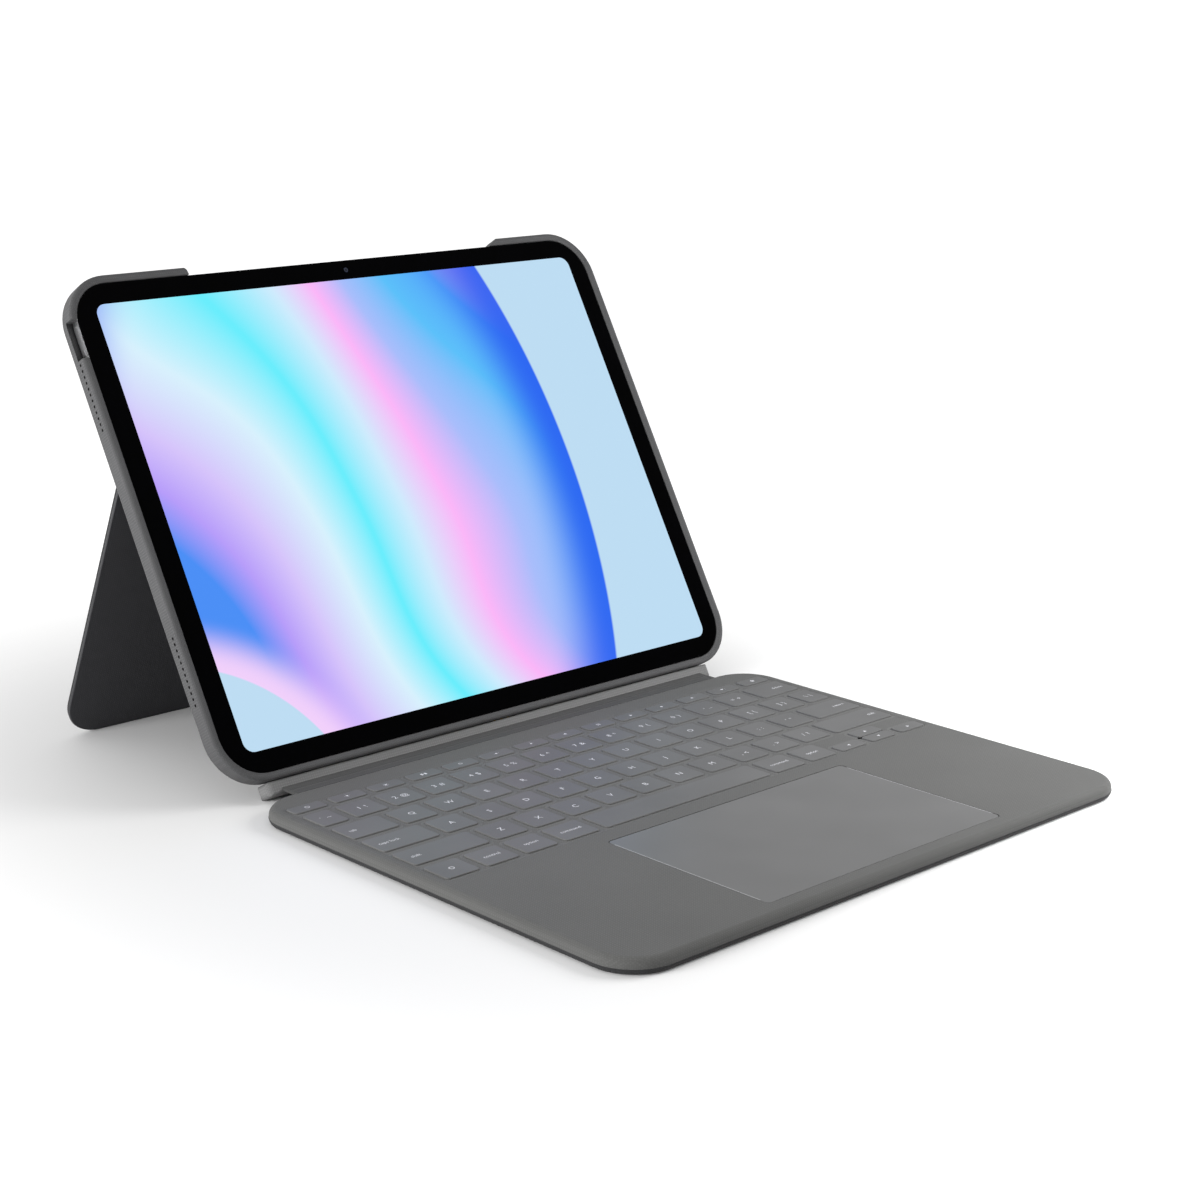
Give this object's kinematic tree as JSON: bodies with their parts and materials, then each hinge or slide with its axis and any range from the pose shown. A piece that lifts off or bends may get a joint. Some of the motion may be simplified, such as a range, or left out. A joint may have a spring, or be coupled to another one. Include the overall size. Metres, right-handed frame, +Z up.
{
  "type": "tablet keyboard case",
  "caption": "Folding tablet case: a tray with a friction kickstand, and a detachable keyboard deck with trackpad on a fabric hinge strip, holding a tablet.",
  "frame": {"origin": "on the table, at the middle of the footprint of the whole object as it stands open", "axes": "+Z up, +Y from the typist to the back, +X to the right along the width of the keyboard"},
  "size_m": [0.291, 0.3606, 0.2025],
  "materials": {
    "tray_fabric_moulding": "woven-textured polyurethane over a moulded shell",
    "deck_fabric_cover": "woven-textured polyurethane",
    "key_plastic": "fine-grained moulded ABS",
    "trackpad_surface": "satin etched glass, painted grey behind",
    "dark_skin": "dark woven inner skin",
    "microfibre": "brushed microfibre",
    "composite_core": "glass-filled composite sheet",
    "hinge_steel": "stainless steel",
    "magnet_nickel": "nickel-plated magnet",
    "gold_contacts": "gold-plated contact",
    "flex_film": "polyimide flexible circuit",
    "steel_plate": "pressed steel sheet",
    "membrane_film": "layered polyester film",
    "light_guide": "clear light-guide sheet with white backing",
    "silicone_rubber": "silicone rubber",
    "guide_acetal": "moulded acetal",
    "circuit_board": "fibreglass board with solder mask",
    "camera_ring_plastic": "smooth moulded trim",
    "tablet_aluminium": "bead-blasted anodised aluminium",
    "tablet_cover_glass": "polished cover glass with a black border",
    "display_panel": "lit display panel",
    "camera_black": "black glass and trim"
  },
  "bodies": {
    "deck": {"deck_base": "deck_fabric_cover", "deck_top": "deck_fabric_cover", "key_support_plate": "steel_plate", "key_membrane": "membrane_film", "backlight_sheet": "light_guide", "rubber_domes": "silicone_rubber", "key_scissors": "guide_acetal", "controller_board": "circuit_board", "deck_flex": "flex_film", "deck_magnets": "magnet_nickel", "trackpad_bracket": "steel_plate", "trackpad_switch": "hinge_steel"},
    "trackpad": {"trackpad_surface": "trackpad_surface", "trackpad_board": "circuit_board"},
    "strip": {"hinge_strip": "deck_fabric_cover", "strip_flex": "flex_film"},
    "bar": {"connector_bar": "deck_fabric_cover", "bar_magnets": "magnet_nickel", "pogo_pins": "gold_contacts"},
    "tray": {"tray_shell": "tray_fabric_moulding", "tray_lining": "microfibre", "upper_back_cover": "tray_fabric_moulding", "camera_ring": "camera_ring_plastic", "hinge_leaves_fixed": "hinge_steel", "hinge_pins": "hinge_steel", "tray_magnets": "magnet_nickel", "tray_contacts": "gold_contacts", "contact_flex": "flex_film"},
    "volume_caps": {"volume_caps": "tray_fabric_moulding"},
    "kickstand": {"kickstand_plate": "composite_core", "kickstand_inner_skin": "dark_skin", "kickstand_outer_skin": "tray_fabric_moulding", "kickstand_magnets": "magnet_nickel", "hinge_leaves_moving": "hinge_steel"},
    "tablet": {"tablet_housing": "tablet_aluminium", "tablet_glass": "tablet_cover_glass", "tablet_display": "display_panel", "tablet_rear_camera": "camera_black"},
    "tablet_power_button": {"tablet_power_button": "tablet_aluminium"},
    "tablet_volume_buttons": {"tablet_volume_buttons": "tablet_aluminium"},
    "function_keys": {"function_keys": "key_plastic"},
    "number_keys": {"number_keys": "key_plastic"},
    "key_delete": {"key_delete": "key_plastic"},
    "key_tab": {"key_tab": "key_plastic"},
    "qwerty_keys": {"qwerty_keys": "key_plastic"},
    "key_backslash": {"key_backslash": "key_plastic"},
    "key_caps_lock": {"key_caps_lock": "key_plastic"},
    "asdf_keys": {"asdf_keys": "key_plastic"},
    "key_return": {"key_return": "key_plastic"},
    "key_left_shift": {"key_left_shift": "key_plastic"},
    "zxcv_keys": {"zxcv_keys": "key_plastic"},
    "key_right_shift": {"key_right_shift": "key_plastic"},
    "modifier_keys": {"modifier_keys": "key_plastic"},
    "key_left_command": {"key_left_command": "key_plastic"},
    "key_space": {"key_space": "key_plastic"},
    "key_right_command": {"key_right_command": "key_plastic"},
    "key_arrow_left": {"key_arrow_left": "key_plastic"},
    "key_arrow_up": {"key_arrow_up": "key_plastic"},
    "key_arrow_down": {"key_arrow_down": "key_plastic"},
    "key_arrow_right": {"key_arrow_right": "key_plastic"}
  },
  "joints": [
    {"name": "fold_case", "type": "hinge", "parent": "strip", "child": "bar", "pos_m": [0, 0.04453, 0.0052], "axis": [1, 0, 0], "range_deg": [-31.67, 95]},
    {"name": "bend_strip", "type": "hinge", "parent": "deck", "child": "strip", "pos_m": [0, 0.03773, 0.0052], "axis": [1, 0, 0], "range_deg": [-8.33, 25]},
    {"name": "detach_case", "type": "slide", "parent": "bar", "child": "tray", "axis": [0, -0.5, -0.866], "range_m": [-0.06, 0]},
    {"name": "kickstand_swing", "type": "hinge", "parent": "tray", "child": "kickstand", "pos_m": [0, 0.12287, 0.12189], "axis": [-1, 0, 0], "range_deg": [-84.09, 54.91]},
    {"name": "lift_tablet", "type": "slide", "parent": "tray", "child": "tablet", "axis": [0, 0.866, -0.5], "range_m": [-0.06, 0]},
    {"name": "press_trackpad", "type": "slide", "parent": "deck", "child": "trackpad", "axis": [0, 0, 1], "range_m": [-0.00025, 0], "stiffness_N_per_m": 6000, "springref_m": 0.0002},
    {"name": "press_power_button", "type": "slide", "parent": "tablet", "child": "tablet_power_button", "axis": [-1, 0, 0], "range_m": [-0.0003, 0], "stiffness_N_per_m": 3000, "springref_m": 0.0001},
    {"name": "press_volume_caps", "type": "slide", "parent": "tray", "child": "volume_caps", "axis": [0, 0.5, 0.866], "range_m": [-0.0003, 0], "stiffness_N_per_m": 3000, "springref_m": 0.0001},
    {"name": "press_volume_buttons", "type": "slide", "parent": "tablet", "child": "tablet_volume_buttons", "axis": [0, 0.5, 0.866], "range_m": [-0.0003, 0], "stiffness_N_per_m": 1500, "springref_m": 0.0001},
    {"name": "press_function_keys", "type": "slide", "parent": "deck", "child": "function_keys", "axis": [0, 0, 1], "range_m": [-0.001, 0], "stiffness_N_per_m": 400, "springref_m": 0.0004},
    {"name": "press_number_keys", "type": "slide", "parent": "deck", "child": "number_keys", "axis": [0, 0, 1], "range_m": [-0.001, 0], "stiffness_N_per_m": 400, "springref_m": 0.0004},
    {"name": "press_key_delete", "type": "slide", "parent": "deck", "child": "key_delete", "axis": [0, 0, 1], "range_m": [-0.001, 0], "stiffness_N_per_m": 400, "springref_m": 0.0004},
    {"name": "press_key_tab", "type": "slide", "parent": "deck", "child": "key_tab", "axis": [0, 0, 1], "range_m": [-0.001, 0], "stiffness_N_per_m": 400, "springref_m": 0.0004},
    {"name": "press_qwerty_keys", "type": "slide", "parent": "deck", "child": "qwerty_keys", "axis": [0, 0, 1], "range_m": [-0.001, 0], "stiffness_N_per_m": 400, "springref_m": 0.0004},
    {"name": "press_key_backslash", "type": "slide", "parent": "deck", "child": "key_backslash", "axis": [0, 0, 1], "range_m": [-0.001, 0], "stiffness_N_per_m": 400, "springref_m": 0.0004},
    {"name": "press_key_caps_lock", "type": "slide", "parent": "deck", "child": "key_caps_lock", "axis": [0, 0, 1], "range_m": [-0.001, 0], "stiffness_N_per_m": 400, "springref_m": 0.0004},
    {"name": "press_asdf_keys", "type": "slide", "parent": "deck", "child": "asdf_keys", "axis": [0, 0, 1], "range_m": [-0.001, 0], "stiffness_N_per_m": 400, "springref_m": 0.0004},
    {"name": "press_key_return", "type": "slide", "parent": "deck", "child": "key_return", "axis": [0, 0, 1], "range_m": [-0.001, 0], "stiffness_N_per_m": 400, "springref_m": 0.0004},
    {"name": "press_key_left_shift", "type": "slide", "parent": "deck", "child": "key_left_shift", "axis": [0, 0, 1], "range_m": [-0.001, 0], "stiffness_N_per_m": 400, "springref_m": 0.0004},
    {"name": "press_zxcv_keys", "type": "slide", "parent": "deck", "child": "zxcv_keys", "axis": [0, 0, 1], "range_m": [-0.001, 0], "stiffness_N_per_m": 400, "springref_m": 0.0004},
    {"name": "press_key_right_shift", "type": "slide", "parent": "deck", "child": "key_right_shift", "axis": [0, 0, 1], "range_m": [-0.001, 0], "stiffness_N_per_m": 400, "springref_m": 0.0004},
    {"name": "press_modifier_keys", "type": "slide", "parent": "deck", "child": "modifier_keys", "axis": [0, 0, 1], "range_m": [-0.001, 0], "stiffness_N_per_m": 400, "springref_m": 0.0004},
    {"name": "press_key_left_command", "type": "slide", "parent": "deck", "child": "key_left_command", "axis": [0, 0, 1], "range_m": [-0.001, 0], "stiffness_N_per_m": 400, "springref_m": 0.0004},
    {"name": "press_key_space", "type": "slide", "parent": "deck", "child": "key_space", "axis": [0, 0, 1], "range_m": [-0.001, 0], "stiffness_N_per_m": 400, "springref_m": 0.0004},
    {"name": "press_key_right_command", "type": "slide", "parent": "deck", "child": "key_right_command", "axis": [0, 0, 1], "range_m": [-0.001, 0], "stiffness_N_per_m": 400, "springref_m": 0.0004},
    {"name": "press_key_arrow_left", "type": "slide", "parent": "deck", "child": "key_arrow_left", "axis": [0, 0, 1], "range_m": [-0.001, 0], "stiffness_N_per_m": 400, "springref_m": 0.0004},
    {"name": "press_key_arrow_up", "type": "slide", "parent": "deck", "child": "key_arrow_up", "axis": [0, 0, 1], "range_m": [-0.001, 0], "stiffness_N_per_m": 400, "springref_m": 0.0004},
    {"name": "press_key_arrow_down", "type": "slide", "parent": "deck", "child": "key_arrow_down", "axis": [0, 0, 1], "range_m": [-0.001, 0], "stiffness_N_per_m": 400, "springref_m": 0.0004},
    {"name": "press_key_arrow_right", "type": "slide", "parent": "deck", "child": "key_arrow_right", "axis": [0, 0, 1], "range_m": [-0.001, 0], "stiffness_N_per_m": 400, "springref_m": 0.0004}
  ],
  "couplings": [
    {"joint": "press_volume_buttons", "follows": "press_volume_caps", "ratio": 1}
  ]
}
